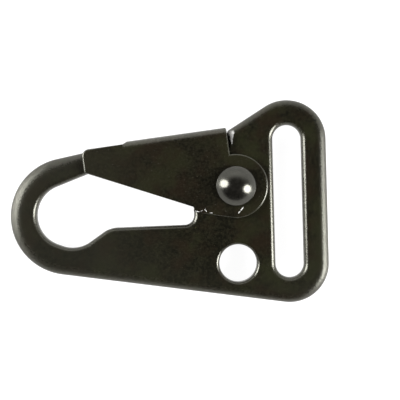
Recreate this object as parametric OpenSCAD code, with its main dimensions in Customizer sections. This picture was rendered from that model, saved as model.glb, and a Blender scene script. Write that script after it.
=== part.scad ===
// Flat snap hook for 32 mm webbing: a pressed plate hook with a folded sheet gate on a rivet.
// The layout is drawn from the gate's pivot, with the gate shut, and is then moved to the part's own frame.

/* [Plate] */
// Thickness of the pressed plate
plate_t = 3.0; // [2.6:0.1:3.6]
// Radius on the plate's outer edges
outer_edge_r = 1.35; // [0.6:0.05:1.45]
// Radius on the edges of the eye and of the slot
inner_edge_r = 0.85; // [0.3:0.05:1.2]

/* [Hook bend] */
// Distance from the pivot back to the centre of the bend
bend_x = 35.0; // [33:0.5:40]
// Depth of the bend's centre under the pivot
bend_y = 5.4; // [4.5:0.1:6.5]
// Outer radius of the bend
bend_r = 12.3; // [11.5:0.1:13.5]
// Tilt of the nose's outer edge, degrees
nose_tilt = 11.3; // [9:0.1:13]

/* [Eye] */
// Radius inside the bend
eye_r = 6.45; // [5.5:0.05:7]
// Shift of the eye's centre from the bend's centre, towards the bend and up
eye_shift = [0.3, 0.2]; // [0:0.05:0.5]
// Length of the flat between the eye's two arcs
eye_flat = 1.0; // [0.5:0.1:2]
// Tilt of that flat, degrees
eye_flat_tilt = 21; // [15:1:27]
// Tilt of the nose's inner edge, degrees
nose_inner_tilt = 20.7; // [18:0.1:22]
// Tilt of the ramp up from the bend, degrees
ramp_tilt = 34.4; // [30:0.2:38]
// Radius of the hump at the top of the ramp
hump_r = 5.4; // [3:0.1:7]
// Depth of the eye's floor under the pivot
floor_y = 7.66; // [7.4:0.02:9]
// Tilt of the floor, degrees
floor_tilt = 0.8; // [0:0.1:2]
// Radius in the corner between the floor and the lug
floor_corner_r = 2.0; // [1:0.1:3]
// Distance from the pivot to the lug's wall
lug_x = 8.85; // [8.4:0.05:9.6]

/* [Webbing slot] */
// Clear length of the slot, for the webbing's width
slot_len = 31.9; // [28:0.1:34]
// Clear width of the slot
slot_w = 5.95; // [4:0.05:7]
// Distance from the pivot to the slot's centre line
slot_x = 10.93; // [10.6:0.01:13]
// Height of the slot's middle against the pivot
slot_y = -3.41; // [-5:0.01:-2]
// Width of the bar round the slot
slot_bar = 5.25; // [4:0.05:7]

/* [Lanyard hole] */
// Radius of the round hole
hole_r = 3.92; // [2.5:0.02:4.2]
// Place of the hole's centre against the pivot
hole_at = [0.11, -16.09]; // [-20:0.01:2]
// Rounding of the hole's rims
hole_edge_r = 0.6; // [0.2:0.05:0.9]

/* [Gate] */
// Length from the pivot to the gate's tip
gate_len = 30.7; // [29:0.1:33]
// Thickness of the gate's sheet
sheet_t = 1.2; // [0.8:0.05:1.5]
// Inside radius of the folds
fold_r = 0.4; // [0.2:0.05:0.8]
// Tilt of the folded edge, degrees
fold_tilt = 6.5; // [5:0.1:8]
// Height of the folded edge above the free edge at the tip
fold_step = 0.57; // [0.3:0.01:0.9]
// Length of the nose that lies between the cheeks
nose_lap = 5.1; // [3.5:0.1:6]
// Distance from the nose's end to the folded web
web_gap = 3.9; // [2.5:0.1:5]
// Distance from the pivot to the gate's back edge
back_u = 0.35; // [0:0.05:0.6]
// Radius of the ears round the rivet
ear_r = 6.65; // [5.5:0.05:7]
// Depth of the heel's upper corner under the pivot
heel_top = 4.04; // [3.6:0.02:4.4]
// Depth of the heel's lower corner under the pivot
heel_low = 5.19; // [4.9:0.01:5.6]
// Clearance between the plate and each cheek
side_gap = 0.1; // [0.05:0.01:0.25]
// Clearance at the stops, with the gate shut or open
stop_gap = 0.1; // [0.05:0.01:0.2]
// How far the gate opens, degrees
open_angle = 25; // [18:1:28]

/* [Rivet] */
// Radius of the shank
shank_r = 2.4; // [1.8:0.05:2.8]
// Radius of the domed head
head_r = 4.07; // [3.6:0.01:4.6]
// Height of the domed head
head_h = 2.6; // [1.8:0.05:3]
// Radius of the peened tail
tail_r = 3.8; // [3.3:0.05:4.5]
// Height of the peened tail
tail_h = 1.1; // [0.7:0.05:1.6]
// Radial clearance of the gate on the shank
running_gap = 0.05; // [0.02:0.01:0.09]
// Clearance between the plate's hole and the shank
rivet_hole_gap = 0.02; // [0.01:0.01:0.05]
// Clearance under the head and over the tail
head_gap = 0.05; // [0.02:0.01:0.15]

/* [Spring] */
// Outer diameter of the coil
spring_d = 2.6; // [2:0.05:2.9]
// Diameter of the wire
wire_d = 0.5; // [0.3:0.02:0.55]
// Number of turns
spring_turns = 7.5; // [5.5:0.5:9.5]
// Distance from the pivot to the coil's axis, along the fold
spring_u = 5.6; // [5:0.05:7]
// Clearance round the coil in its pocket
pocket_gap = 0.2; // [0.1:0.05:0.25]
// Height of the pocket's floor above the pivot
pocket_v = 4.2; // [3.8:0.05:5]
// Height of the ledge behind the pocket above the pivot
ledge_v = 6.9; // [6:0.05:8]
// Width of the stop post in front of the pocket
post_w = 2.2; // [1.6:0.05:3]

/* [Hidden] */
$fn = 96;

half_t = plate_t / 2;
outer_e = min(outer_edge_r, half_t - 0.1);
inner_e = min(inner_edge_r, half_t - 0.2);
// Radius of the small edges inside the gate
hidden_e = 0.25;
// How far an arc's chord may lie inside the arc
chord_error = 0.015;
// Steps in a quarter of a rounded edge
edge_steps = 4;
// How far a cutting body runs past what it cuts
past = 1;

// Directions and lines. A line is [tilt, distance], the distance being square to it from the pivot, upwards.
function along(tilt) = [cos(tilt), sin(tilt)];
function square_to(tilt) = [-sin(tilt), cos(tilt)];
// The line of that tilt on the upper (1) or lower (-1) side of a circle
function touching(tilt, centre, r, side) = [tilt, square_to(tilt) * centre + side * r];
function shifted(line, d) = [line[0], line[1] + d];
function meet(p, q) =
    let (turn = sin(q[0] - p[0]))
    [q[1] * cos(p[0]) - p[1] * cos(q[0]), q[1] * sin(p[0]) - p[1] * sin(q[0])] / -turn;
// A point given along the fold and square to it
function on_gate(u, v) = u * along(fold_tilt) + v * square_to(fold_tilt);
// The height over the fold's direction of a line, at a distance u along it
function height_at(line, u) = (line[1] + u * sin(line[0] - fold_tilt)) / cos(line[0] - fold_tilt);

// An outline is a belt round circles, drawn with the metal on its left. A stop is [centre, radius, edge radius],
// with a radius below 0 where the belt passes the other way round and the corner is hollow.
function heading(a, b) =
    let (d = b[0] - a[0])
    atan2(d[1], d[0]) - asin((b[1] - a[1]) / norm(d));
function turned(from, to, r) =
    let (t = ((to - from) % 360 + 360) % 360)
    r < 0 ? t - 360 : t;
function arc_count(r, t) = ceil(abs(t) / min(30, 2 * acos(1 - chord_error / max(abs(r), 0.1))));
// The outline's points, each as [place, direction out of the metal, edge radius]
function outline(stops) = [
    for (i = [0 : len(stops) - 1])
        let (
            s = stops[i],
            h = heading(stops[(i + len(stops) - 1) % len(stops)], s),
            t = turned(h, heading(s, stops[(i + 1) % len(stops)]), s[1]),
            n = s[1] == 0 ? 0 : arc_count(s[1], t)
        )
        for (k = [0 : n])
            let (a = h + (n == 0 ? 0 : t * k / n))
            [s[0] + s[1] * [sin(a), -cos(a)], [sin(a), -cos(a)], s[2]]
];
// A stop on the straight run into b, at a distance before it
function run_in(a, b, before, e) =
    let (h = heading(a, b))
    [b[0] + b[1] * [sin(h), -cos(h)] - before * along(h), 0, e];
function places(line) = [for (p = line) p[0]];
// The outline where the rounded edge has come to the flat face
function flat_rim(line) = [for (p = line) p[0] - p[2] * p[1]];

// The rounded edge along an outline, as a closed band from the flat rim out to the outline
module edge_band(line) {
    quarter = [for (k = [0 : edge_steps]) 90 * k / edge_steps];
    section = concat([for (k = [edge_steps : -1 : 0]) [-quarter[k], -1]], [for (a = quarter) [a, 1]]);
    n = len(line);
    m = len(section);
    points = [
        for (s = section) for (p = line)
            let (place = p[0] - p[1] * p[2] * (1 - cos(s[0])))
            [place[0], place[1], s[1] * (half_t - p[2]) + p[2] * sin(s[0])]
    ];
    faces = [
        for (j = [0 : m - 1]) for (i = [0 : n - 1])
            let (
                a = j * n + i,
                b = j * n + (i + 1) % n,
                c = (j + 1) % m * n + (i + 1) % n,
                d = (j + 1) % m * n + i
            )
            for (f = [[a, d, c], [a, c, b]]) f
    ];
    polyhedron(points, faces);
}

// Frame: the bend, the nose and the eye
bend_at = [-bend_x, -bend_y];
eye_at = bend_at + [-eye_shift[0], eye_shift[1]];
eye_low_at = eye_at + eye_flat * along(-eye_flat_tilt);
nose_line = touching(nose_tilt, bend_at, bend_r, 1);
nose_inner_line = touching(nose_inner_tilt, eye_at, eye_r, 1);
ramp_line = touching(ramp_tilt, eye_low_at, eye_r, -1);
floor_line = [floor_tilt, -floor_y];
lug_line = [90, lug_x];

// Gate: heights square to the fold, and places along it
nose_end_u = -(gate_len - nose_lap);
web_front_u = nose_end_u + web_gap;
// How far the cheeks stand above the nose at its end, and above its inner edge at the tip
nose_cover = [0.04, 0.2];
tip_top_v = height_at(nose_line, nose_end_u) + nose_cover[0];
tip_low_v = height_at(nose_inner_line, -gate_len) + nose_cover[1];
fold_v = tip_top_v + fold_step;
web_inner_v = fold_v - sheet_t;
fold_outer_r = fold_r + sheet_t;
fold_start_v = fold_v - fold_outer_r;
cheek_z = half_t + side_gap;
gate_z = cheek_z + sheet_t;
// The line that the web comes down on when the gate is open
open_line = [fold_tilt + open_angle, web_inner_v - stop_gap];

// Lug: the shoulder that the shut gate's web meets, the ledge, the spring's pocket and the stop post
shoulder_u = -back_u + stop_gap;
shoulder_r = 0.9;
// Rounding of the shoulder's edges, and how far the middle of its round tip lies under the web
shoulder_edge_r = 0.85;
shoulder_drop = 0.11;
shoulder_at = on_gate(shoulder_u + shoulder_r, web_inner_v - shoulder_drop);
pocket_half = spring_d / 2 + pocket_gap;
pocket_back_u = -spring_u + pocket_half;
pocket_front_u = -spring_u - pocket_half;
ledge_corner_r = 0.8;
pocket_lip_r = 0.4;
pocket_corner_r = 0.5;
post_back_r = 0.4;
post_front_r = 0.6;
post_back_u = pocket_front_u - post_back_r;
post_front_u = pocket_front_u - post_w + post_front_r;
// Radius where the lug's wall turns in under the gate
lug_knee_r = 3;
nose_end_r = 1.2;
// Length over which an edge's rounding grows
edge_run = 3;

// Slot and its bar
slot_r = slot_w / 2;
slot_top_at = [slot_x, slot_y + slot_len / 2 - slot_r];
slot_low_at = [slot_x, slot_y - slot_len / 2 + slot_r];
corner_r = slot_r + slot_bar;

top_corner = [slot_top_at, corner_r, outer_e];
shoulder_tip = [shoulder_at, shoulder_r, shoulder_edge_r];
frame_stops = [
    [slot_low_at, corner_r, outer_e],
    top_corner,
    run_in(top_corner, shoulder_tip, edge_run, outer_e),
    shoulder_tip,
    [on_gate(shoulder_u - ledge_corner_r, ledge_v + ledge_corner_r), -ledge_corner_r, hidden_e],
    [on_gate(pocket_back_u + pocket_lip_r, ledge_v - pocket_lip_r), pocket_lip_r, hidden_e],
    [on_gate(pocket_back_u - pocket_corner_r, pocket_v + pocket_corner_r), -pocket_corner_r, hidden_e],
    [on_gate(pocket_front_u + pocket_corner_r, pocket_v + pocket_corner_r), -pocket_corner_r, hidden_e],
    [
        on_gate(post_back_u, height_at(shifted(open_line, -post_back_r), post_back_u)),
        post_back_r, hidden_e
    ],
    [
        on_gate(post_front_u, height_at(shifted(open_line, -post_front_r), post_front_u)),
        post_front_r, hidden_e
    ],
    [[-lug_x - lug_knee_r, -heel_top], -lug_knee_r, inner_e],
    [meet(shifted(floor_line, floor_corner_r), shifted(lug_line, floor_corner_r)), -floor_corner_r, inner_e],
    [meet(shifted(floor_line, -hump_r), shifted(ramp_line, -hump_r)), hump_r, inner_e],
    [eye_low_at, -eye_r, inner_e],
    [eye_at, -eye_r, inner_e],
    [
        meet(shifted(nose_inner_line, nose_end_r), [fold_tilt + 90, -nose_end_u + nose_end_r]),
        nose_end_r, inner_e
    ],
    [
        meet(shifted(nose_line, -nose_end_r), [fold_tilt + 90, -nose_end_u + nose_end_r]),
        nose_end_r, inner_e
    ],
    run_in([meet(nose_line, [fold_tilt + 90, -nose_end_u]), 0], [bend_at, bend_r], edge_run, outer_e),
    [bend_at, bend_r, outer_e]
];
slot_stops = [[slot_low_at, -slot_r, inner_e], [slot_top_at, -slot_r, inner_e]];

// Gate outline, up to where the folds start
tip_r = 1.2;
small_r = 0.3;
heel_stop = [[-lug_x + small_r, -heel_low + small_r], small_r];
ear_stop = [[0, 0], ear_r];
gate_stops = [
    [on_gate(-back_u, 0), 0],
    [on_gate(-back_u, fold_start_v), 0],
    [on_gate(web_front_u, fold_start_v), 0],
    [on_gate(web_front_u, tip_top_v), 0],
    [on_gate(-gate_len + tip_r, tip_top_v - tip_r), tip_r],
    [on_gate(-gate_len + small_r, tip_low_v + small_r), small_r],
    [[-lug_x - small_r, -heel_top - small_r], -small_r],
    heel_stop,
    run_in(heel_stop, ear_stop, 0, 0)
];

// The part's frame: the middle of its length and width, on the surface that it lies on
x_mid = (slot_x + corner_r - bend_x - bend_r) / 2;
y_mid = (slot_top_at[1] + slot_low_at[1]) / 2;
z_low = -(gate_z + head_gap + tail_h);

module placed() {
    translate([-x_mid, -y_mid, -z_low]) children();
}

// What a round hole's rounded rim takes away, running on past the face along the last step
module hole_rim(r, e) {
    rim = [
        for (k = [0 : edge_steps])
            let (a = 90 * k / edge_steps)
            [r + e * (1 - cos(a)), half_t - e * (1 - sin(a))]
    ];
    runout = 2 * rim[edge_steps] - rim[edge_steps - 1];
    rotate_extrude() polygon(concat([[0, half_t - e]], rim, [runout, [0, runout[1]]]));
}

module hook_frame() {
    rim = outline(frame_stops);
    slot_rim = outline(slot_stops);
    placed() color([0.16, 0.15, 0.13]) difference() {
        union() {
            linear_extrude(plate_t, center = true) difference() {
                polygon(flat_rim(rim));
                polygon(flat_rim(slot_rim));
            }
            edge_band(rim);
            edge_band(slot_rim);
        }
        cylinder(r = shank_r + rivet_hole_gap, h = plate_t + 2 * past, center = true);
        translate([hole_at[0], hole_at[1], 0]) {
            cylinder(r = hole_r, h = plate_t + 2 * past, center = true);
            hole_rim(hole_r, hole_edge_r);
            mirror([0, 0, 1]) hole_rim(hole_r, hole_edge_r);
        }
    }
}

// One flat cheek, up to where the folds start
module cheek() {
    translate([0, 0, cheek_z]) linear_extrude(sheet_t) union() {
        polygon(places(outline(gate_stops)));
        circle(r = ear_r);
    }
}

// One fold's section, a quarter of a ring
module fold_section() {
    intersection() {
        difference() {
            circle(r = fold_outer_r);
            circle(r = fold_r);
        }
        square(fold_outer_r + past);
    }
}

// The web and its two folds, with the web's front corner cut on the slant
module web() {
    slant = 0.4;
    slant_length = norm([2 * slant, fold_step]);
    length = -back_u - web_front_u + slant;
    flat_z = gate_z - fold_outer_r;
    slant_angle = atan2(fold_step, 2 * slant);
    rotate(fold_tilt) difference() {
        translate([-back_u, 0, 0]) rotate([0, -90, 0]) {
            translate([-flat_z, web_inner_v, 0]) cube([2 * flat_z, sheet_t, length]);
            for (side = [0, 1]) mirror([side, 0, 0]) translate([flat_z, fold_start_v, 0]) {
                linear_extrude(length) fold_section();
            }
        }
        translate([web_front_u - slant, tip_top_v, -gate_z - past]) rotate(slant_angle) {
            translate([-past, 0, 0]) cube([slant_length + 2 * past, fold_step + past, 2 * (gate_z + past)]);
        }
    }
}

module gate() {
    placed() color([0.19, 0.18, 0.16]) difference() {
        union() {
            cheek();
            mirror([0, 0, 1]) cheek();
            web();
        }
        cylinder(r = shank_r + running_gap, h = 2 * (gate_z + past), center = true);
    }
}

// A spherical cap of that radius and height, standing on the plane at z
module cap(r, h, z) {
    ball_r = (r * r + h * h) / (2 * h);
    translate([0, 0, z]) rotate_extrude() intersection() {
        translate([0, h - ball_r]) circle(r = ball_r);
        square([r + past, h + past]);
    }
}

module pivot_rivet() {
    seat_z = gate_z + head_gap;
    placed() color([0.22, 0.21, 0.19]) union() {
        cap(head_r, head_h, seat_z);
        mirror([0, 0, 1]) cap(tail_r, tail_h, seat_z);
        cylinder(r = shank_r, h = 2 * seat_z, center = true);
    }
}

// The coil's wire, swept along a helix that lies close at both ends
module gate_spring() {
    steps = 20;
    sides = 8;
    end_gap = 0.05;
    flat_turns = 0.5;
    low = pocket_v + end_gap + wire_d / 2;
    high = web_inner_v - end_gap - wire_d / 2;
    coil_r = (spring_d - wire_d) / 2;
    rising_turns = spring_turns - 2 * flat_turns;
    count = steps * spring_turns;
    function height(turns) =
        low + (high - low) / rising_turns * min(max(turns - flat_turns, 0), rising_turns);
    points = [
        for (i = [0 : count]) for (s = [0 : sides - 1])
            let (
                turns = i / steps,
                r = coil_r + wire_d / 2 * cos(360 * s / sides),
                v = height(turns) + wire_d / 2 * sin(360 * s / sides),
                at = on_gate(-spring_u + r * cos(360 * turns), v)
            )
            [at[0], at[1], r * sin(360 * turns)]
    ];
    sides_between = [
        for (i = [0 : count - 1]) for (s = [0 : sides - 1])
            let (
                a = i * sides + s,
                b = i * sides + (s + 1) % sides,
                c = (i + 1) * sides + (s + 1) % sides,
                d = (i + 1) * sides + s
            )
            for (f = [[a, b, c], [a, c, d]]) f
    ];
    first_end = [[for (s = [sides - 1 : -1 : 0]) s]];
    last_end = [[for (s = [0 : sides - 1]) count * sides + s]];
    placed() color([0.45, 0.45, 0.44]) polyhedron(points, concat(sides_between, first_end, last_end));
}

hook_frame();
gate();
pivot_rivet();
gate_spring();
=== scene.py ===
from math import asin, atan2, ceil, cos, pi, radians, sin, sqrt

import bpy
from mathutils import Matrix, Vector
from mathutils.geometry import intersect_line_line_2d
from mathutils.kdtree import KDTree


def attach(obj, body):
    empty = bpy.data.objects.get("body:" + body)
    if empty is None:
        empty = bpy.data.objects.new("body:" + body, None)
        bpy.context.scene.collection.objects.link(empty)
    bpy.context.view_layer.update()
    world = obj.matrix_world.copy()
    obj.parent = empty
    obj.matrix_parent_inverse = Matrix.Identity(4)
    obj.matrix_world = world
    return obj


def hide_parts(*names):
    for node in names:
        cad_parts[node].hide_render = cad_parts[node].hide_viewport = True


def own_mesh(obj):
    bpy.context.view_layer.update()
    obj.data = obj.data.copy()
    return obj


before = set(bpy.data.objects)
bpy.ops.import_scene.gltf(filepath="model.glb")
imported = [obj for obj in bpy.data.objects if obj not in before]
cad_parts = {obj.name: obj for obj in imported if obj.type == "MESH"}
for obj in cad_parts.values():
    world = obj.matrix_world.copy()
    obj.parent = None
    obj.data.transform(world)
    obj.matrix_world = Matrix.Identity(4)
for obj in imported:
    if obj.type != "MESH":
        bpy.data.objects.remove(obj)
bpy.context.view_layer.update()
print("frame loaded")

# Pieces are shaped in millimetres round the gate's pivot, with the gate shut,
# and are brought to the frame's metres when they are done
workshop = {
    "pivotAt": (0.0140725, 0.00341, 0.00395),
    "plateHalf": 1.5,
    "foldTilt": radians(6.5),
    "weld": 0.002,  # points of an outline nearer than this are one
    "flatWeld": 0.0008,
    "flatSlack": 0.00001,
    "roundPoints": 96,
    "widestStep": radians(15),
    "changeSteps": 8,  # along a straight on which the rounding changes
    "cornerReach": 14,  # points searched on each side of a tight corner
    "smoothTo": 40,
}
tilt = workshop["foldTilt"]


def along(angle):
    return Vector((cos(angle), sin(angle)))


def squareTo(angle):
    return Vector((-sin(angle), cos(angle)))


# From the pivot, u runs along the gate's fold, away from the tip, and v runs up square to it
def onGate(u, v):
    return along(tilt) * u + squareTo(tilt) * v


# A line is (angle, distance), the distance being square to it from the pivot
def touching(angle, centre, r, side):
    return (angle, squareTo(angle).dot(centre) + side * r)


def shifted(line, d):
    return (line[0], line[1] + d)


def meet(p, q):
    turn = sin(q[0] - p[0])
    x = q[1] * cos(p[0]) - p[1] * cos(q[0])
    y = q[1] * sin(p[0]) - p[1] * sin(q[0])
    return Vector((x, y)) / -turn


def heightAt(line, u):
    return (line[1] + u * sin(line[0] - tilt)) / cos(line[0] - tilt)


# An outline runs round its stops as a belt does, with the metal on its left. A stop is (centre, radius,
# width of the edge's rounding), and a radius below 0 makes a hollow corner.
def heading(a, b):
    run = b[0] - a[0]
    return atan2(run.y, run.x) - asin(max(-1, min(1, (b[1] - a[1]) / run.length)))


def turned(start, end, r):
    turn = (end - start) % (2 * pi)
    return turn - 2 * pi if r < 0 else turn


def pointOn(stop, direction):
    return stop[0] + stop[1] * Vector((sin(direction), -cos(direction)))


# A stop on the straight from a to b, a little before b, from which the rounding changes
def runIn(a, b, before, width):
    h = heading(a, b)
    return (pointOn(b, h) - before * along(h), 0, width)


def deselectAll():
    if bpy.context.object and bpy.context.object.mode == "EDIT":
        bpy.ops.object.mode_set(mode="OBJECT")
    bpy.ops.object.select_all(action="DESELECT")


def emptyPiece(name):
    deselectAll()
    bpy.ops.mesh.primitive_plane_add(size=1)
    piece = bpy.context.object
    piece.name = piece.data.name = name
    bpy.ops.object.mode_set(mode="EDIT")
    bpy.ops.mesh.select_mode(type="VERT")
    bpy.ops.mesh.delete(type="VERT")
    return piece


def startPoint(place):
    bpy.ops.mesh.select_all(action="DESELECT")
    bpy.ops.mesh.primitive_plane_add(size=0.1, location=place)
    bpy.ops.mesh.merge(type="CENTER")


def drawTo(step):
    bpy.ops.mesh.extrude_region_move(TRANSFORM_OT_translate={"value": step})


# Spin turns clockwise for an angle above 0, so the sign is changed here
def sweepRound(centre, angle, steps, axis=(0, 0, 1)):
    bpy.ops.mesh.spin(steps=steps, angle=-angle, center=centre, axis=axis)


# Draws a closed outline by sweeping a point round each stop and drawing it on to the next,
# and gives back its points, each with the width of the rounding there
def traceBelt(stops, fineness):
    rounding = []
    count = len(stops)
    turns = []
    for i, stop in enumerate(stops):
        h = heading(stops[i - 1], stop)
        turns.append((h, turned(h, heading(stop, stops[(i + 1) % count]), stop[1]) if stop[1] else 0))
    here = pointOn(stops[0], turns[0][0])
    startPoint((here.x, here.y, 0))
    rounding.append((here, stops[0][2]))
    for i, stop in enumerate(stops):
        h, turn = turns[i]
        if turn:
            finest = min(workshop["widestStep"], fineness / sqrt(abs(stop[1])))
            steps = max(2, ceil(abs(turn) / finest))
            sweepRound((stop[0].x, stop[0].y, 0), turn, steps)
            for k in range(1, steps + 1):
                here = pointOn(stop, h + turn * k / steps)
                rounding.append((here, stop[2]))
        after = stops[(i + 1) % count]
        goal = pointOn(after, turns[(i + 1) % count][0])
        pieces = 1 if after[2] == stop[2] else workshop["changeSteps"]
        leg = (goal - here) / pieces
        for k in range(pieces):
            drawTo((leg.x, leg.y, 0))
            here = here + leg
            rounding.append((here, stop[2] + (after[2] - stop[2]) * (k + 1) / pieces))
    bpy.ops.mesh.select_all(action="SELECT")
    bpy.ops.mesh.remove_doubles(threshold=workshop["weld"])
    return rounding


# Gives each point of an outline the place where its rounded edge runs out into the flat. Where a corner
# is tighter than the rounding, the points whose paths cross share the crossing.
def roundingEnds(outline):
    rim = []
    for place, width in outline:
        if not rim or (place - rim[-1][0]).length > workshop["weld"]:
            rim.append((place, width))
    if (rim[0][0] - rim[-1][0]).length <= workshop["weld"]:
        rim.pop()
    count = len(rim)
    ends = []
    for i, (place, width) in enumerate(rim):
        before = (place - rim[i - 1][0]).normalized()
        mid = (before + (rim[(i + 1) % count][0] - place).normalized()).normalized()
        ends.append(place + Vector((-mid.y, mid.x)) * width / mid.dot(before))
    back = []
    for i in range(count):
        after = (i + 1) % count
        back.append((ends[after] - ends[i]).dot(rim[after][0] - rim[i][0]) < 0)
    reach = range(workshop["cornerReach"])
    for first in range(count):
        if not back[first] or back[first - 1]:
            continue
        last = first
        while back[last % count]:
            last += 1
        for p, q in sorted(((p, q) for p in reach for q in reach), key=sum):
            a, b = first - p, last + q
            crossing = intersect_line_line_2d(
                ends[(a - 1) % count], ends[a % count], ends[b % count], ends[(b + 1) % count],
            )
            if crossing:
                for k in range(a, b + 1):
                    ends[k % count] = crossing.copy()
                break
    return [(place, width, end) for (place, width), end in zip(rim, ends)]


def drawHole(piece, centre, r, width):
    bpy.ops.mesh.select_all(action="DESELECT")
    bpy.ops.mesh.primitive_circle_add(vertices=workshop["roundPoints"], radius=r, location=(*centre, 0))
    bpy.ops.object.mode_set(mode="OBJECT")
    places = [point.co.xy for point in piece.data.vertices if point.select]
    bpy.ops.object.mode_set(mode="EDIT")
    return [(place, width, place + (place - Vector(centre)) * width / r) for place in places]


def selectAt(piece, test):
    bpy.ops.object.mode_set(mode="OBJECT")
    mesh = piece.data
    for face in mesh.polygons:
        face.select = False
    for point in mesh.vertices:
        point.select = test(point.co)
    for edge in mesh.edges:
        edge.select = all(mesh.vertices[v].select for v in edge.vertices)
    bpy.ops.object.mode_set(mode="EDIT")


# Makes a plate of what is drawn. The outlines are pulled up in level steps, which then bend in to round
# both edges. Roundings narrower than polished are marked for the finish.
def makePlate(piece, rim, half, steps, deepest, polished=0):
    bpy.ops.mesh.select_all(action="SELECT")
    for level in range(2 * steps + 1):
        drawTo((0, 0, 1))
    bpy.ops.object.mode_set(mode="OBJECT")
    drawn = KDTree(len(rim))
    for i, (place, width, end) in enumerate(rim):
        drawn.insert(place.to_3d(), i)
    drawn.balance()
    polish = piece.data.attributes.new("polish", "FLOAT", "POINT")
    for i, point in enumerate(piece.data.vertices):
        place, width, end = rim[drawn.find(point.co.xy.to_3d())[1]]
        level = round(point.co.z)
        side = -1 if level <= steps else 1
        turn = (1 - min(level, 2 * steps + 1 - level) / steps) * pi / 2
        depth = min(width, deepest)
        polish.data[i].value = cos(turn) if width < polished else 0
        point.co.xy = place + (end - place) * (1 - cos(turn))
        point.co.z = side * (half - depth * (1 - sin(turn)))
    bpy.ops.object.mode_set(mode="EDIT")
    bpy.ops.mesh.select_all(action="SELECT")
    bpy.ops.mesh.remove_doubles(threshold=workshop["flatWeld"])
    for side in (-half, half):
        selectAt(piece, lambda p: abs(p.z - side) < workshop["flatSlack"])
        bpy.ops.mesh.fill(use_beauty=True)
        bpy.ops.mesh.mod_weighted_strength(set=True, face_strength="STRONG")
    print(piece.name, "drawn with", len(rim), "points round its edges")


def outwards():
    bpy.ops.mesh.select_all(action="SELECT")
    bpy.ops.mesh.normals_make_consistent(inside=False)
    bpy.ops.object.mode_set(mode="OBJECT")


def toFrame(piece):
    deselectAll()
    piece.select_set(True)
    bpy.context.view_layer.objects.active = piece
    piece.scale = (0.001, 0.001, 0.001)
    piece.location = workshop["pivotAt"]
    bpy.ops.object.transform_apply(location=True, rotation=True, scale=True)
    return piece


def addModifier(piece, kind, **values):
    bpy.context.view_layer.objects.active = piece
    bpy.ops.object.modifier_add(type=kind)
    for name, value in values.items():
        setattr(piece.modifiers[-1], name, value)


def applyAll(piece):
    bpy.context.view_layer.objects.active = piece
    for modifier in list(piece.modifiers):
        bpy.ops.object.modifier_apply(modifier=modifier.name)


# The flats are marked as strong, so the shading stays level on them up to the start of the rounding
def smoothShaded(piece, angle):
    deselectAll()
    piece.select_set(True)
    bpy.context.view_layer.objects.active = piece
    bpy.ops.object.shade_smooth_by_angle(angle=radians(angle))
    addModifier(
        piece, "WEIGHTED_NORMAL", mode="FACE_AREA", weight=50, keep_sharp=True,
        use_face_influence=True,
    )
    applyAll(piece)


# Hook plate: the bend, nose, eye, lug, slot and hole, blanked from one plate with pressed edges
hook = {
    "bendEdge": 3.1,  # widths of the rounded edges
    "noseEdge": 2.1,
    "outerEdge": 2.2,
    "shoulderEdge": 1.9,
    "slotEdge": 1.25,
    "innerEdge": 1.1,
    "holeEdge": 0.85,
    "hiddenEdge": 0.25,
    "rivetHoleEdge": 0.05,
    "deepestEdge": 1.42,  # no rounding goes deeper
    "polishedEdge": 1.3,  # narrower roundings are polished
    "edgeSteps": 9,
    "fineness": 0.16,  # a smaller value gives finer rounds
    "slotFineness": 0.12,
    "bendAt": Vector((-35.0, -5.4)),
    "bendR": 12.3,
    "noseTilt": radians(11.3),
    "noseInnerTilt": radians(20.7),
    "noseR": 1.2,
    "noseRun": 6,  # before the bend, where the rounding widens
    "eyeShift": Vector((-0.3, 0.2)),  # from the bend's centre
    "eyeR": 6.45,
    "eyeFlat": 1.0,  # between the eye's two rounds
    "eyeFlatTilt": radians(-21),
    "rampTilt": radians(34.4),  # up from the eye to the hump
    "humpR": 5.4,
    "floor": (radians(0.8), -7.66),  # the line under the eye's throat
    "floorCornerR": 2.0,
    "lugX": 8.85,  # from the pivot to the lug's edge in the throat
    "kneeR": 3.0,
    "slotR": 2.975,
    "slotAt": (10.93, -3.41),
    "slotHalf": 12.975,  # from its middle to the centre of each end
    "slotBar": 5.25,  # metal between the slot and the outer edge
    "holeAt": (0.11, -16.09),
    "holeR": 3.92,
    "rivetHoleR": 2.42,
    "shoulderR": 0.9,
    "shoulderDrop": 0.11,  # below the web's inner face
    "shoulderRun": 3,
    "ledgeV": 6.9,  # between the shoulder and the pocket
    "ledgeR": 0.8,
    "pocketV": 4.2,  # the pocket's floor
    "pocketHalf": 1.5,
    "pocketR": 0.5,
    "pocketRimR": 0.4,
    "springU": 5.6,  # from the pivot towards the tip
    "postW": 2.2,
    "postR": 0.6,
}

# Gate sheet: it stands before the plate's outline, which follows from the web and both stops
sheet = {
    "length": 30.7,  # from the pivot to the tip
    "thick": 1.2,
    "sideGap": 0.1,
    "fineness": 0.12,
    "edge": 0.18,
    "tipEdge": 0.42,
    "earEdge": 0.45,
    "boreEdge": 0.05,
    "deepestEdge": 0.55,
    "edgeSteps": 5,
    "tipR": 1.5,
    "tipLift": 0.04,
    "tipLowLift": 0.2,
    "smallR": 0.3,
    "heelTop": -4.04,  # heights of the step at the heel
    "heelLow": -5.19,
    "earR": 6.65,
    "boreR": 2.45,
    "backU": 0.35,  # from the pivot to the web's rear end
    "noseLap": 5.1,  # how far the nose reaches in past the tip
    "webGap": 3.9,  # from the nose's end to the web's front end
    "slant": 0.4,
    "slantSteps": 5,
    "slitW": 0.02,
    "slitRun": 0.5,
    "foldR": 0.55,
    "foldSteps": 12,
    "foldStep": 0.57,  # from the tip's top edge up to the web's outer face
    "openAngle": radians(25),
    "stopGap": 0.1,  # left at each end of the gate's turn
}

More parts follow.
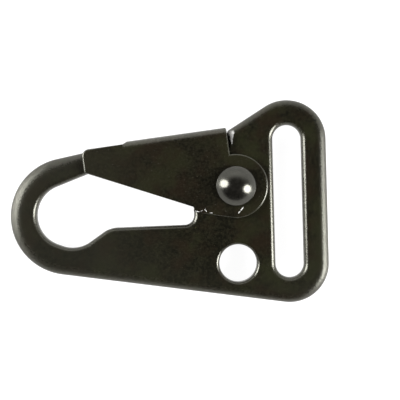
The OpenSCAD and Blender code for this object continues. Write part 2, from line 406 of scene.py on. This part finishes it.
eyeAt = hook["bendAt"] + hook["eyeShift"]
eyeLowAt = eyeAt + hook["eyeFlat"] * along(hook["eyeFlatTilt"])
noseLine = touching(hook["noseTilt"], hook["bendAt"], hook["bendR"], 1)
noseInnerLine = touching(hook["noseInnerTilt"], eyeAt, hook["eyeR"], 1)
rampLine = touching(hook["rampTilt"], eyeLowAt, hook["eyeR"], -1)
lugLine = (pi / 2, hook["lugX"])
noseEndU = sheet["noseLap"] - sheet["length"]
webFrontU = noseEndU + sheet["webGap"]
tipTopV = heightAt(noseLine, noseEndU) + sheet["tipLift"]
foldV = tipTopV + sheet["foldStep"]
webInnerV = foldV - sheet["thick"]
openLine = (tilt + sheet["openAngle"], webInnerV - sheet["stopGap"])
shoulderU = sheet["stopGap"] - sheet["backU"]
pocketBackU = hook["pocketHalf"] - hook["springU"]
pocketFrontU = -hook["pocketHalf"] - hook["springU"]


def plateStops():
    outer, inner, hidden = hook["outerEdge"], hook["innerEdge"], hook["hiddenEdge"]
    endR = hook["slotR"] + hook["slotBar"]
    slotX, slotY = hook["slotAt"]
    low = (Vector((slotX, slotY - hook["slotHalf"])), endR, outer)
    top = (Vector((slotX, slotY + hook["slotHalf"])), endR, outer)
    shoulderR, shoulderV = hook["shoulderR"], webInnerV - hook["shoulderDrop"]
    shoulder = (onGate(shoulderU + shoulderR, shoulderV), shoulderR, hook["shoulderEdge"])
    ledgeV, ledgeR = hook["ledgeV"], hook["ledgeR"]
    pocketV, pocketR, rimR, postR = hook["pocketV"], hook["pocketR"], hook["pocketRimR"], hook["postR"]
    postBackU = pocketFrontU - rimR
    postFrontU = pocketFrontU - hook["postW"] + postR
    kneeR, cornerR, humpR, noseR = hook["kneeR"], hook["floorCornerR"], hook["humpR"], hook["noseR"]
    noseEnd = (tilt + pi / 2, -noseEndU)
    bend = (hook["bendAt"], hook["bendR"], hook["bendEdge"])
    return [
        low,
        top,
        runIn(top, shoulder, hook["shoulderRun"], outer),
        shoulder,
        (onGate(shoulderU - ledgeR, ledgeV + ledgeR), -ledgeR, hidden),
        (onGate(pocketBackU + rimR, ledgeV - rimR), rimR, hidden),
        (onGate(pocketBackU - pocketR, pocketV + pocketR), -pocketR, hidden),
        (onGate(pocketFrontU + pocketR, pocketV + pocketR), -pocketR, hidden),
        (onGate(postBackU, heightAt(shifted(openLine, -rimR), postBackU)), rimR, hidden),
        (onGate(postFrontU, heightAt(shifted(openLine, -postR), postFrontU)), postR, hidden),
        (Vector((-hook["lugX"] - kneeR, sheet["heelTop"])), -kneeR, inner),
        (meet(shifted(hook["floor"], cornerR), shifted(lugLine, cornerR)), -cornerR, inner),
        (meet(shifted(hook["floor"], -humpR), shifted(rampLine, -humpR)), humpR, inner),
        (eyeLowAt, -hook["eyeR"], inner),
        (eyeAt, -hook["eyeR"], inner),
        (meet(shifted(noseInnerLine, noseR), shifted(noseEnd, noseR)), noseR, inner),
        (meet(shifted(noseLine, -noseR), shifted(noseEnd, noseR)), noseR, inner),
        runIn((meet(noseLine, noseEnd), 0, inner), bend, hook["noseRun"], hook["noseEdge"]),
        bend,
    ]


def makeHook():
    piece = emptyPiece("hook_plate")
    slotX, slotY = hook["slotAt"]
    rim = roundingEnds(traceBelt(plateStops(), hook["fineness"]))
    rim += roundingEnds(traceBelt([
        (Vector((slotX, slotY - hook["slotHalf"])), -hook["slotR"], hook["slotEdge"]),
        (Vector((slotX, slotY + hook["slotHalf"])), -hook["slotR"], hook["slotEdge"]),
    ], hook["slotFineness"]))
    rim += drawHole(piece, hook["holeAt"], hook["holeR"], hook["holeEdge"])
    rim += drawHole(piece, (0, 0), hook["rivetHoleR"], hook["rivetHoleEdge"])
    makePlate(
        piece, rim, workshop["plateHalf"], hook["edgeSteps"], hook["deepestEdge"], hook["polishedEdge"],
    )
    outwards()
    return piece


hookPlate = toFrame(makeHook())
smoothShaded(hookPlate, workshop["smoothTo"])
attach(hookPlate, "frame")
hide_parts("hook_frame")
print("hook plate done")

# Gate: two flat cheeks with round ears, joined by a web with a fold on each side. It is drawn as the
# flat blank, in u and a length that runs on over both folds, and then folded.
cheekZ = workshop["plateHalf"] + sheet["sideGap"]
gateZ = cheekZ + sheet["thick"]
foldZ = cheekZ - sheet["foldR"]
foldMidR = sheet["foldR"] + sheet["thick"] / 2
foldOuterR = sheet["foldR"] + sheet["thick"]
foldStartV = foldV - sheet["foldR"] - sheet["thick"]
foldLength = foldMidR * pi / 2
blankMiddle = foldStartV + foldLength + foldZ
webStartU = webFrontU - sheet["slant"]
slitU = webStartU - sheet["slitW"]


def seenOnGate(p):
    return Vector((along(tilt).dot(p), squareTo(tilt).dot(p)))


def cheekStops():
    back, length, tipR, small = sheet["backU"], sheet["length"], sheet["tipR"], sheet["smallR"]
    tipLowV = heightAt(noseInnerLine, -length) + sheet["tipLowLift"]
    heelX = -hook["lugX"]
    edge, tipEdge = sheet["edge"], sheet["tipEdge"]
    return [
        (Vector((slitU, tipTopV)), 0, 0),
        (Vector((slitU - sheet["slitRun"], tipTopV)), 0, edge),
        (Vector((tipR - length, tipTopV - tipR)), tipR, tipEdge),
        (Vector((small - length, tipLowV + small)), small, tipEdge),
        (seenOnGate(Vector((heelX - small, sheet["heelTop"] - small))), -small, edge),
        (seenOnGate(Vector((heelX + small, sheet["heelLow"] + small))), small, edge),
        (Vector((0, 0)), sheet["earR"], sheet["earEdge"]),
        (Vector((-back, sqrt(sheet["earR"] ** 2 - back ** 2))), 0, edge),
    ]


# The web's front end leans back from the tip's top edge, as seen from the front
def webEndStops():
    lowest = asin((tipTopV - foldStartV) / foldOuterR)
    steps = sheet["slantSteps"]
    stops = []
    for k in range(steps, -1, -1):
        turn = lowest + (pi / 2 - lowest) * k / steps
        rise = foldOuterR * sin(turn) - tipTopV + foldStartV
        lean = rise * 2 * sheet["slant"] / sheet["foldStep"]
        place = Vector((webStartU + lean, foldStartV + foldMidR * turn))
        stops.append((place, 0, min(k / 2, 1) * sheet["edge"]))
    return stops


def mirrored(stops):
    return [(Vector((place.x, 2 * blankMiddle - place.y)), r, edge) for place, r, edge in reversed(stops)]


def folded(p):
    turn = min(p.y, 2 * blankMiddle - p.y) - foldStartV
    side = 1 if p.y < blankMiddle else -1
    if turn <= 0 or p.x < (slitU + webStartU) / 2:
        v, z = foldStartV + turn, foldZ + foldMidR + p.z
    elif turn < foldLength:
        v = foldStartV + (foldMidR + p.z) * sin(turn / foldMidR)
        z = foldZ + (foldMidR + p.z) * cos(turn / foldMidR)
    else:
        v, z = foldStartV + foldMidR + p.z, foldZ - turn + foldLength
    place = onGate(p.x, v)
    return Vector((place.x, place.y, side * z))


def makeGate():
    piece = emptyPiece("folded_gate")
    cheek, webEnd = cheekStops(), webEndStops()
    rim = roundingEnds(traceBelt(cheek + mirrored(cheek) + mirrored(webEnd) + webEnd, sheet["fineness"]))
    rim += drawHole(piece, (0, 0), sheet["boreR"], sheet["boreEdge"])
    rim += drawHole(piece, (0, 2 * blankMiddle), sheet["boreR"], sheet["boreEdge"])
    makePlate(piece, rim, sheet["thick"] / 2, sheet["edgeSteps"], sheet["deepestEdge"])
    steps = sheet["foldSteps"]
    cuts = [(foldStartV + foldLength * k / steps, (0, 1, 0)) for k in range(steps + 1)]
    cuts += [(2 * blankMiddle - place, across) for place, across in cuts]
    cuts += [(slitU, (1, 0, 0)), (webStartU, (1, 0, 0))]
    for place, across in cuts:
        bpy.ops.mesh.select_all(action="SELECT")
        bpy.ops.mesh.bisect(plane_co=Vector(across) * place, plane_no=across)
    bpy.ops.object.mode_set(mode="OBJECT")
    for point in piece.data.vertices:
        point.co = folded(point.co)
    bpy.ops.object.mode_set(mode="EDIT")
    outwards()
    return piece


foldedGate = toFrame(makeGate())
smoothShaded(foldedGate, workshop["smoothTo"])
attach(foldedGate, "gate")
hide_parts("gate")
print("gate done")

# Rivet: a domed head in front, the shank, and a low peened tail behind
rivet = {
    "shankR": 2.4,
    "headR": 4.1,
    "headH": 2.6,
    "headGap": 0.05,
    "headSteps": 24,
    "skirt": 0.5,
    "rim": 0.12,
    "rimSteps": 4,
    "tailR": 3.8,
    "tailH": 1.1,
    "tailSteps": 16,
}


# The head's crown rises from its skirt as a parabola
def makeRivet():
    piece = emptyPiece("domed_rivet")
    seat = gateZ + rivet["headGap"]
    crown = rivet["headH"] - rivet["skirt"]
    tailBall = (rivet["tailR"] ** 2 + rivet["tailH"] ** 2) / (2 * rivet["tailH"])
    startPoint((0, 0, -seat - rivet["tailH"]))
    tailAt = (0, 0, tailBall - seat - rivet["tailH"])
    sweepRound(tailAt, -asin(rivet["tailR"] / tailBall), rivet["tailSteps"], (0, 1, 0))
    drawTo((rivet["shankR"] - rivet["tailR"], 0, 0))
    drawTo((0, 0, 2 * seat))
    drawTo((rivet["headR"] - rivet["shankR"], 0, 0))
    drawTo((0, 0, rivet["skirt"]))
    steps = rivet["headSteps"]
    for k in range(steps, 0, -1):
        drawTo((-rivet["headR"] / steps, 0, crown * (k ** 2 - (k - 1) ** 2) / steps ** 2))
    bpy.ops.mesh.select_all(action="SELECT")
    sweepRound((0, 0, 0), 2 * pi, workshop["roundPoints"])
    bpy.ops.mesh.select_all(action="SELECT")
    bpy.ops.mesh.remove_doubles(threshold=workshop["weld"])
    outwards()
    addModifier(
        piece, "BEVEL", limit_method="ANGLE", angle_limit=radians(workshop["smoothTo"]),
        width=rivet["rim"], segments=rivet["rimSteps"], loop_slide=False,
    )
    applyAll(piece)
    return piece


domedRivet = toFrame(makeRivet())
smoothShaded(domedRivet, workshop["smoothTo"])
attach(domedRivet, "frame")
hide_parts("pivot_rivet")
print("rivet done")

# Spring: a wound coil that stands in the lug's pocket, under the web
coil = {
    "outerD": 2.6,
    "wire": 0.5,
    "wirePoints": 12,
    "turns": 7.5,
    "windSteps": 180,
    "endGap": 0.05,
    "smoothTo": 50,
}
coilLow = hook["pocketV"] + coil["endGap"] + coil["wire"] / 2
coilHigh = webInnerV - coil["endGap"] - coil["wire"] / 2


def makeSpring():
    deselectAll()
    bpy.ops.mesh.primitive_circle_add(
        vertices=coil["wirePoints"], radius=coil["wire"] / 2, fill_type="NGON",
        rotation=(pi / 2, 0, 0), location=((coil["outerD"] - coil["wire"]) / 2, 0, 0),
    )
    piece = bpy.context.object
    piece.name = piece.data.name = "gate_coil"
    bpy.ops.object.transform_apply(location=True, rotation=True, scale=True)
    addModifier(
        piece, "SCREW", angle=2 * pi * coil["turns"], screw_offset=coilHigh - coilLow,
        steps=coil["windSteps"], render_steps=coil["windSteps"], use_normal_calculate=True,
    )
    applyAll(piece)
    piece.rotation_euler = (-pi / 2, 0, tilt)
    piece.location = onGate(-hook["springU"], coilLow).to_3d()
    bpy.ops.object.transform_apply(location=True, rotation=True, scale=True)
    bpy.ops.object.mode_set(mode="EDIT")
    bpy.ops.mesh.select_all(action="SELECT")
    bpy.ops.mesh.fill_holes(sides=0)
    outwards()
    return piece


gateCoil = toFrame(makeSpring())
smoothShaded(gateCoil, coil["smoothTo"])
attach(gateCoil, "frame")
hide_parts("gate_spring")
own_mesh(gateCoil)
print("spring done")

# Finishes: black oxide on the plate, the gate and the rivet, bare wire on the spring. A piece's flats
# are at flatZ, with their rounded edges below it, and the gate's web, below webZ, counts as flat.
blackening = {
    "plate": {
        "dark": (0.0034, 0.0032, 0.0014),
        "light": (0.0150, 0.0137, 0.0069),
        "brown": (0.0136, 0.0084, 0.0041),
        "olive": (0.0150, 0.0165, 0.0060),
        # The colour for the far ends is painted light, standing in for the side softboxes lighting them
        # more
        "far": (0.0190, 0.0186, 0.0135),
        "worn": (0.030, 0.027, 0.020),
        "ior": 1.75,
        "rough": (0.22, 0.245), "edgeRough": 0.11, "edgeSpots": 0.12,
        "flatZ": 1.5, "webZ": -1,
        "dents": 0.020, "flatDents": 0.5, "pits": 0.6,
        "grit": 0.008, "edgeGrit": 10,
    },
    "gate": {
        "dark": (0.0034, 0.0030, 0.0014),
        "light": (0.0146, 0.0128, 0.0067),
        "brown": (0.0138, 0.0086, 0.0046),
        "olive": (0.0150, 0.0156, 0.0064),
        "far": (0.0220, 0.0206, 0.0130),
        "worn": (0.060, 0.056, 0.048),
        "ior": 1.75,
        "rough": (0.20, 0.26), "edgeRough": 0.14, "edgeSpots": 0.06,
        "flatZ": 2.8, "webZ": 1.0,
        "dents": 0.040, "flatDents": 0.2, "pits": 0.4,
        "grit": 0.008, "edgeGrit": 1.5,
    },
    "rivet": {
        "dark": (0.0050, 0.0046, 0.0038),
        "light": (0.0075, 0.0070, 0.0058),
        "brown": (0.0080, 0.0070, 0.0056),
        "olive": (0.0075, 0.0070, 0.0058),
        "far": (0.0075, 0.0070, 0.0058),
        "worn": (0.014, 0.013, 0.011),
        "ior": 1.75,
        "rough": (0.18, 0.21), "edgeRough": 0, "edgeSpots": 0,
        "flatZ": 9, "webZ": -1,
        "dents": 0.003, "flatDents": 1, "pits": 0,
        "grit": 0.002, "edgeGrit": 1,
    },
    "wire": {
        "dark": (0.16, 0.16, 0.16),
        "light": (0.28, 0.28, 0.27),
        "brown": (0.22, 0.21, 0.19),
        "olive": (0.22, 0.22, 0.21),
        "far": (0.22, 0.22, 0.21),
        "worn": (0.28, 0.28, 0.27),
        "ior": 1.5,
        "rough": (0.25, 0.35), "edgeRough": 0, "edgeSpots": 0,
        "flatZ": 9, "webZ": -1,
        "dents": 0.002, "flatDents": 1, "pits": 0,
        "grit": 0.002, "edgeGrit": 1,
    },
}

# The patterns of the oxide: how large each is in millimetres, and how much of it shows. A span is
# (from, to) in a pattern, or (from, to, least, most) with what it gives.
oxide = {
    "gloss": (1.0, 0.99, 0.86, 1),
    "cloudSize": 7, "stainSize": 4.5, "mottleSize": 0.55, "dotSize": 0.35, "grainSize": 0.2,
    "cloudShare": 0.3, "mottleShare": 0.45, "grainShare": 0.25,
    "toneSpan": (0.42, 0.58),
    "brownSpan": (0.45, 0.65, 0, 0.7),
    "oliveSpan": (0.48, 0.64, 0, 0.7),
    # Painted light: the colour turns lighter with distance from nearAt, towards the far ends
    "nearAt": (2, 2, 0), "farSpan": (17, 34, 0, 0.5),
    "rubbedSpan": (0.45, 0.66, 0, 0.7),
    "speckSpan": (0.68, 0.78, 0, 0.6),
    "roughSpan": (0.35, 0.65),
    "spotSpan": (0.48, 0.60),
    "flatSlack": 0.01, "edgeFade": 0.45, "webFade": 0.6,
    "polishGloss": 0.09, "polishLevel": 0.7,
    "bareAndLitRough": 0.15,
    "mottleDents": 0.5,
}

# Bare steel scratches low on the gate, and a painted highlight: a near-white facet on the shoulder beside
# the web's stop
scratchAndHighlight = {
    "steelAndHighlight": (0.97, 0.96, 0.93),
    "low": 8.4,
    "high": 11.2,
    "lowU": 0.40,
    "highU": 0.62,
    "lowWidth": 0.05,
    "width": 0.7,
    "soft": 0.26,
    "lowFade": 0.6,
    "highFade": 0.5,
    "raggedSize": 0.5,
    "ragged": 0.5,
    "strokes": (
        ((1.35, -4.40), (0.85, -5.10), 0.26),
        ((0.72, -5.20), (0.30, -5.66), 0.20),
        ((-8.55, -4.95), (-7.75, -5.12), 0.16),
        ((-7.45, -5.05), (-6.95, -4.80), 0.14),
        ((-6.60, -4.62), (-6.20, -5.15), 0.16),
        ((-5.55, -5.40), (-5.00, -5.45), 0.18),
    ),
    "strokeReach": 0.55,
    "strokeFade": 0.12,
    "chipSize": 0.25,
    "chipSpan": (0.36, 0.54, 0.25, 1),
    "frontSpan": (0.2, 0.5, 0, 1),
}


def addNode(tree, kind, inputs=None, **values):
    node = tree.nodes.new(kind)
    for name, value in values.items():
        setattr(node, name, value)
    for name, value in (inputs or {}).items():
        if isinstance(value, bpy.types.NodeSocket):
            tree.links.new(value, node.inputs[name])
        else:
            node.inputs[name].default_value = value
    return node


def math(tree, operation, *values):
    return addNode(tree, "ShaderNodeMath", dict(enumerate(values)), operation=operation).outputs[0]


def vectorMath(tree, operation, first, second):
    return addNode(tree, "ShaderNodeVectorMath", {0: first, 1: second}, operation=operation)


def partOf(tree, place, axis):
    return addNode(tree, "ShaderNodeSeparateXYZ", {"Vector": place}).outputs[axis]


def spread(tree, value, fromLow, fromHigh, toLow=0, toHigh=1):
    return addNode(tree, "ShaderNodeMapRange", {
        "Value": value, "From Min": fromLow, "From Max": fromHigh, "To Min": toLow, "To Max": toHigh,
    }).outputs["Result"]


def noise(tree, place, size, detail=3, roughness=0.55):
    return addNode(tree, "ShaderNodeTexNoise", {
        "Vector": place, "Scale": 1 / size, "Detail": detail, "Roughness": roughness,
    }).outputs["Fac"]


def blend(tree, factor, first, second):
    node = addNode(tree, "ShaderNodeMix", {"Factor": factor}, data_type="RGBA")
    for socket, value in ((node.inputs[6], first), (node.inputs[7], second)):
        if isinstance(value, bpy.types.NodeSocket):
            tree.links.new(value, socket)
        else:
            socket.default_value = (*value, 1)
    return node.outputs[2]


# Painted highlight: a near-white patch on the shoulder's rounded edge, where the gate's web strikes it each
# time it snaps shut
def paintedStopHighlight(tree, place):
    turnedPlace = addNode(tree, "ShaderNodeMapping", {
        "Vector": place, "Rotation": (0, 0, -tilt),
    }).outputs["Vector"]
    u, v = partOf(tree, turnedPlace, "X"), partOf(tree, turnedPlace, "Y")
    low, high = scratchAndHighlight["low"], scratchAndHighlight["high"]
    halfWidth = spread(tree, v, low, high, scratchAndHighlight["lowWidth"], scratchAndHighlight["width"])
    middle = spread(tree, v, low, high, scratchAndHighlight["lowU"], scratchAndHighlight["highU"])
    away = math(tree, "ABSOLUTE", math(tree, "SUBTRACT", u, middle))
    torn = noise(tree, place, scratchAndHighlight["raggedSize"], 2, 0.5)
    torn = math(tree, "MULTIPLY_ADD", torn, scratchAndHighlight["ragged"], -scratchAndHighlight["ragged"] / 2)
    inside = math(tree, "SUBTRACT", math(tree, "ADD", halfWidth, torn), away)
    inside = spread(tree, inside, 0, scratchAndHighlight["soft"])
    for end, softEnd in ((low, low + scratchAndHighlight["lowFade"]), (high + scratchAndHighlight["highFade"], high)):
        inside = math(tree, "MULTIPLY", inside, spread(tree, v, end, softEnd))
    front = spread(tree, partOf(tree, place, "Z"), *scratchAndHighlight["frontSpan"])
    return math(tree, "MULTIPLY", inside, front)


# A scratch is a straight stroke that thins out unevenly
def scratches(tree, place):
    marks = None
    for start, end, width in scratchAndHighlight["strokes"]:
        a, run = Vector(start), Vector(end) - Vector(start)
        rest = vectorMath(tree, "SUBTRACT", place, (a.x, a.y, 0)).outputs[0]
        unitRun = (run.x / run.length_squared, run.y / run.length_squared, 0)
        onRun = vectorMath(tree, "DOT_PRODUCT", rest, unitRun).outputs["Value"]
        square = (-run.y / run.length, run.x / run.length, 0)
        across = vectorMath(tree, "DOT_PRODUCT", rest, square).outputs["Value"]
        fromMiddle = math(tree, "ABSOLUTE", math(tree, "SUBTRACT", onRun, 0.5))
        lengthwise = math(tree, "SUBTRACT", scratchAndHighlight["strokeReach"], fromMiddle)
        sideways = math(tree, "SUBTRACT", width / 2, math(tree, "ABSOLUTE", across))
        lengthwise = spread(tree, lengthwise, 0, scratchAndHighlight["strokeFade"])
        mark = math(tree, "MULTIPLY", lengthwise, spread(tree, sideways, 0, width / 4))
        marks = mark if marks is None else math(tree, "MAXIMUM", marks, mark)
    uneven = spread(tree, noise(tree, place, scratchAndHighlight["chipSize"], 1, 0.5), *scratchAndHighlight["chipSpan"])
    front = spread(tree, partOf(tree, place, "Z"), *scratchAndHighlight["frontSpan"])
    return math(tree, "MULTIPLY", math(tree, "MULTIPLY", marks, uneven), front)


def steelFinish(name, look, bareAndLitMarks=None, metallic=0.0):
    material = bpy.data.materials.new(name)
    material.use_nodes = True
    tree = material.node_tree
    tree.nodes.clear()
    place = addNode(tree, "ShaderNodeMapping", {
        "Vector": addNode(tree, "ShaderNodeTexCoord").outputs["Object"],
        "Scale": (1000, 1000, 1000), "Location": [-1000 * c for c in workshop["pivotAt"]],
    }).outputs["Vector"]
    cloud = noise(tree, place, oxide["cloudSize"])
    stain = noise(tree, place, oxide["stainSize"], 2)
    mottle = noise(tree, place, oxide["mottleSize"], 4, 0.6)
    grain = noise(tree, place, oxide["grainSize"], 3, 0.6)
    dots = noise(tree, place, oxide["dotSize"], 1, 0.4)
    polish = addNode(tree, "ShaderNodeAttribute", attribute_name="polish").outputs["Fac"]

    # From 0 on the flats to 1 in the roundings, and 0 on the web
    height = math(tree, "ABSOLUTE", partOf(tree, place, "Z"))
    flatZ, webZ = look["flatZ"], look["webZ"]
    offFlat = spread(tree, height, flatZ - oxide["flatSlack"], flatZ - oxide["edgeFade"])
    offFlat = math(tree, "MULTIPLY", offFlat, spread(tree, height, webZ, webZ + oxide["webFade"]))

    tone = math(tree, "MULTIPLY", cloud, oxide["cloudShare"])
    tone = math(tree, "MULTIPLY_ADD", mottle, oxide["mottleShare"], tone)
    tone = math(tree, "MULTIPLY_ADD", grain, oxide["grainShare"], tone)
    away = vectorMath(tree, "DISTANCE", place, oxide["nearAt"]).outputs["Value"]
    colour = blend(tree, spread(tree, tone, *oxide["toneSpan"]), look["dark"], look["light"])
    colour = blend(tree, spread(tree, stain, *oxide["brownSpan"]), colour, look["brown"])
    colour = blend(tree, spread(tree, cloud, *oxide["oliveSpan"]), colour, look["olive"])
    # Painted light: lighter with distance from the middle, towards the far ends
    colour = blend(tree, spread(tree, away, *oxide["farSpan"]), colour, look["far"])
    rubbed = math(tree, "MULTIPLY", offFlat, spread(tree, mottle, *oxide["rubbedSpan"]))
    specks = math(tree, "MAXIMUM", rubbed, spread(tree, dots, *oxide["speckSpan"]))
    colour = blend(tree, specks, colour, look["worn"])

    rough = spread(tree, mottle, *oxide["roughSpan"], *look["rough"])
    rough = math(tree, "MULTIPLY_ADD", offFlat, look["edgeRough"], rough)
    spots = spread(tree, dots, *oxide["spotSpan"], 0, look["edgeSpots"])
    rough = math(tree, "MULTIPLY_ADD", offFlat, spots, rough)
    rough = math(tree, "MULTIPLY_ADD", polish, -oxide["polishGloss"], rough)
    # On the plate this paints a highlight on the shoulder's facet, and on the gate it lays bare steel
    # scratches
    if bareAndLitMarks:
        bareAndLit = bareAndLitMarks(tree, place)
        colour = blend(tree, bareAndLit, colour, scratchAndHighlight["steelAndHighlight"])
        rough = math(tree, "MULTIPLY_ADD", bareAndLit, oxide["bareAndLitRough"], rough)

    # Fine grit lies under shallow dents, and both are weaker where an edge is polished
    level = math(tree, "MULTIPLY_ADD", polish, -oxide["polishLevel"], 1)
    gritty = math(tree, "MULTIPLY", grain, spread(tree, offFlat, 0, 1, 1, look["edgeGrit"]))
    bump = addNode(tree, "ShaderNodeBump", {
        "Height": math(tree, "MULTIPLY", gritty, level), "Strength": 1, "Distance": look["grit"] / 1000,
    }).outputs["Normal"]
    dented = math(tree, "MULTIPLY", mottle, oxide["mottleDents"])
    dented = math(tree, "MULTIPLY_ADD", dots, look["pits"], dented)
    dented = math(tree, "MULTIPLY", dented, spread(tree, offFlat, 0, 1, look["flatDents"], 1))
    bump = addNode(tree, "ShaderNodeBump", {
        "Height": math(tree, "MULTIPLY", dented, level), "Normal": bump, "Strength": 1,
        "Distance": look["dents"] / 1000,
    }).outputs["Normal"]

    shader = addNode(tree, "ShaderNodeBsdfPrincipled", {
        "Base Color": colour, "Roughness": rough, "Normal": bump, "Metallic": metallic,
        "IOR": look["ior"], "Specular Tint": oxide["gloss"],
    })
    addNode(tree, "ShaderNodeOutputMaterial", {"Surface": shader.outputs["BSDF"]})
    return material


for piece, name, look, bareAndLitMarks, metallic in (
    (hookPlate, "plateBlack", "plate", paintedStopHighlight, 0.0),
    (foldedGate, "gateBlack", "gate", scratches, 0.0),
    (domedRivet, "rivetBlack", "rivet", None, 0.0),
    (gateCoil, "springWire", "wire", None, 1.0),
):
    piece.data.materials.clear()
    piece.data.materials.append(steelFinish(name, blackening[look], bareAndLitMarks, metallic))
print("finishes done")

# Studio: a white cove, two round softboxes low at the sides, air that darkens upwards and a camera
# straight above. A softbox is (direction, width, power).
studio = {
    "floorR": 1.4,
    "coveR": 0.3,
    "wallH": 0.2,
    "coveSteps": 12,
    "coveSides": 64,
    "coveWeld": 0.0001,
    "boxAway": 0.6,
    "boxHeight": radians(28.5),
    "boxes": ((radians(166), 0.36, 4.7), (radians(345), 0.34, 5.4)),
    "airSpan": (0.15, 0.65),
    "airLow": 0.85,
    "airHigh": 0.035,
    "airLean": 0.28,
    "airSide": 0.6,
    "airEnds": 0.65,
    "paper": 0.85,
    "paperGlow": 0.95,
    "paperShade": 0.27,
    "cameraAt": (0.00655, 0.00071, 0.16395),
    "cameraTurn": radians(-1.5),
    "cameraAway": 0.16,
    "cameraClip": 0.01,
    "viewWidth": 0.084,
}


def makeCove():
    cove = emptyPiece("studio_cove")
    startPoint((0, 0, 0))
    drawTo((studio["floorR"], 0, 0))
    sweepRound((studio["floorR"], 0, studio["coveR"]), -pi / 2, studio["coveSteps"], (0, 1, 0))
    drawTo((0, 0, studio["wallH"]))
    bpy.ops.mesh.select_all(action="SELECT")
    sweepRound((0, 0, 0), 2 * pi, studio["coveSides"])
    bpy.ops.mesh.select_all(action="SELECT")
    bpy.ops.mesh.remove_doubles(threshold=studio["coveWeld"])
    bpy.ops.mesh.normals_make_consistent(inside=True)
    bpy.ops.object.mode_set(mode="OBJECT")
    return cove


# The camera, mirrors and glass see the cove as white, and it lights the hook only as pale paper does
def coveWhite():
    white = bpy.data.materials.new("coveWhite")
    white.use_nodes = True
    tree = white.node_tree
    tree.nodes.clear()
    path = addNode(tree, "ShaderNodeLightPath")
    seen = math(tree, "MAXIMUM", path.outputs["Is Camera Ray"], path.outputs["Is Glossy Ray"])
    seen = math(tree, "MAXIMUM", seen, path.outputs["Is Transmission Ray"])
    plain = (*(studio["paper"],) * 3, 1)
    shade = (*(studio["paperShade"],) * 3, 1)
    paper = addNode(tree, "ShaderNodeBsdfDiffuse", {"Color": plain}).outputs["BSDF"]
    dimPaper = addNode(tree, "ShaderNodeBsdfDiffuse", {"Color": shade}).outputs["BSDF"]
    glow = addNode(tree, "ShaderNodeEmission", {"Strength": studio["paperGlow"]}).outputs["Emission"]
    bright = addNode(tree, "ShaderNodeAddShader", {0: dimPaper, 1: glow}).outputs[0]
    surface = addNode(tree, "ShaderNodeMixShader", {0: seen, 1: paper, 2: bright}).outputs[0]
    addNode(tree, "ShaderNodeOutputMaterial", {"Surface": surface})
    return white


cove = makeCove()
cove.data.materials.append(coveWhite())

for i, (direction, width, power) in enumerate(studio["boxes"]):
    softbox = bpy.data.lights.new("softbox" + str(i), "AREA")
    softbox.shape = "DISK"
    softbox.size = width
    softbox.energy = power
    softboxObject = bpy.data.objects.new(softbox.name, softbox)
    bpy.context.scene.collection.objects.link(softboxObject)
    rise = studio["boxHeight"]
    towards = Vector((cos(direction) * cos(rise), sin(direction) * cos(rise), sin(rise)))
    softboxObject.location = towards * studio["boxAway"]
    softboxObject.rotation_mode = "QUATERNION"
    softboxObject.rotation_quaternion = towards.to_track_quat("Z", "Y")
    softboxObject.visible_camera = False

# The air is bright low down and dark overhead, brighter on the gate's side and dimmer past both ends
world = bpy.data.worlds.new("studioAir")
world.use_nodes = True
tree = world.node_tree
skyward = addNode(tree, "ShaderNodeSeparateXYZ", {
    "Vector": addNode(tree, "ShaderNodeTexCoord").outputs["Generated"],
})
leaning = math(tree, "MULTIPLY_ADD", skyward.outputs["Y"], -studio["airLean"], skyward.outputs["Z"])
air = addNode(tree, "ShaderNodeMapRange", {
    "Value": leaning, "From Min": studio["airSpan"][0], "From Max": studio["airSpan"][1],
    "To Min": studio["airLow"], "To Max": studio["airHigh"],
}, interpolation_type="SMOOTHSTEP").outputs["Result"]
ends = math(tree, "MULTIPLY", skyward.outputs["X"], skyward.outputs["X"])
share = math(tree, "MULTIPLY_ADD", ends, -studio["airEnds"], 1)
share = math(tree, "MULTIPLY_ADD", skyward.outputs["Y"], studio["airSide"], share)
background = tree.nodes["Background"]
background.inputs["Color"].default_value = (1, 1, 1, 1)
tree.links.new(math(tree, "MULTIPLY", air, share), background.inputs["Strength"])
bpy.context.scene.world = world
bpy.context.scene.view_settings.view_transform = "Standard"

camera = bpy.data.cameras.new("camera")
cameraObject = bpy.data.objects.new("camera", camera)
bpy.context.scene.collection.objects.link(cameraObject)
cameraObject.location = studio["cameraAt"]
cameraObject.rotation_euler = (0, 0, studio["cameraTurn"])
camera.lens = camera.sensor_width * studio["cameraAway"] / studio["viewWidth"]
camera.clip_start = studio["cameraClip"]
bpy.context.scene.camera = cameraObject
print("studio done")
